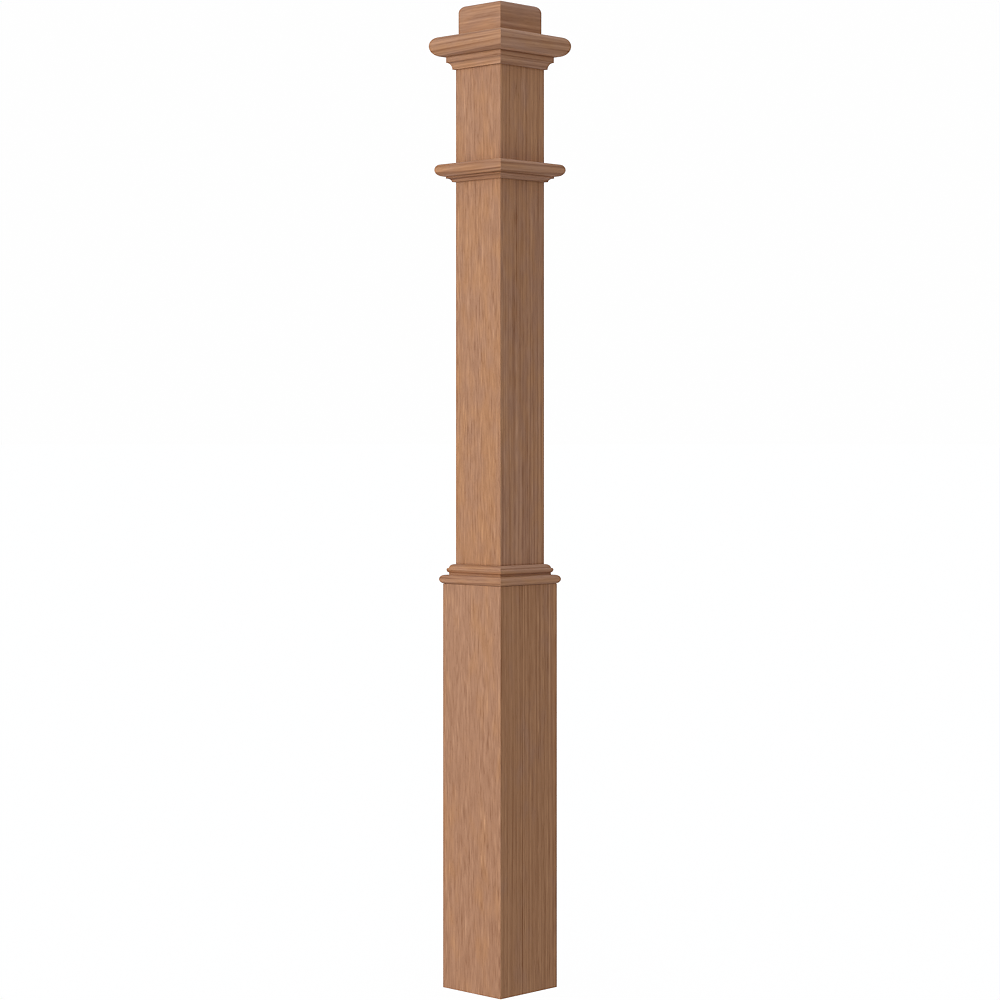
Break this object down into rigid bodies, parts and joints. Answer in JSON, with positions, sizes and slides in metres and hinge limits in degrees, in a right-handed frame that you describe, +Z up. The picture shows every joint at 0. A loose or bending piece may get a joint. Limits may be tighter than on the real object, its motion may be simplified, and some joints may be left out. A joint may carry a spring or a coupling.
{
  "type": "newel post",
  "caption": "Square wooden box newel post with a cased foot, mitred base moulding, rounded collar, cove and plate cap and a small block on top.",
  "frame": {"origin": "centre of the underside, on the floor", "axes": "+Z up along the post's axis; -Y is the front face and +X the right face, and the four sides are alike"},
  "size_m": [0.159, 0.159, 1.5429],
  "materials": {
    "shaft_wood": "satin",
    "casing_wood": "satin",
    "moulding_wood": "satin",
    "cap_wood": "satin"
  },
  "bodies": {
    "root": {"front_shaft_board": "shaft_wood", "right_shaft_board": "shaft_wood", "back_shaft_board": "shaft_wood", "left_shaft_board": "shaft_wood", "front_casing_board": "casing_wood", "right_casing_board": "casing_wood", "back_casing_board": "casing_wood", "left_casing_board": "casing_wood", "front_base_moulding": "moulding_wood", "right_base_moulding": "moulding_wood", "back_base_moulding": "moulding_wood", "left_base_moulding": "moulding_wood", "front_collar_cove": "moulding_wood", "right_collar_cove": "moulding_wood", "back_collar_cove": "moulding_wood", "left_collar_cove": "moulding_wood", "front_collar_nose": "moulding_wood", "right_collar_nose": "moulding_wood", "back_collar_nose": "moulding_wood", "left_collar_nose": "moulding_wood", "front_cap_cove": "cap_wood", "right_cap_cove": "cap_wood", "back_cap_cove": "cap_wood", "left_cap_cove": "cap_wood", "front_cap_plate": "cap_wood", "right_cap_plate": "cap_wood", "back_cap_plate": "cap_wood", "left_cap_plate": "cap_wood", "front_cap_block": "cap_wood", "right_cap_block": "cap_wood", "back_cap_block": "cap_wood", "left_cap_block": "cap_wood"}
  },
  "joints": []
}
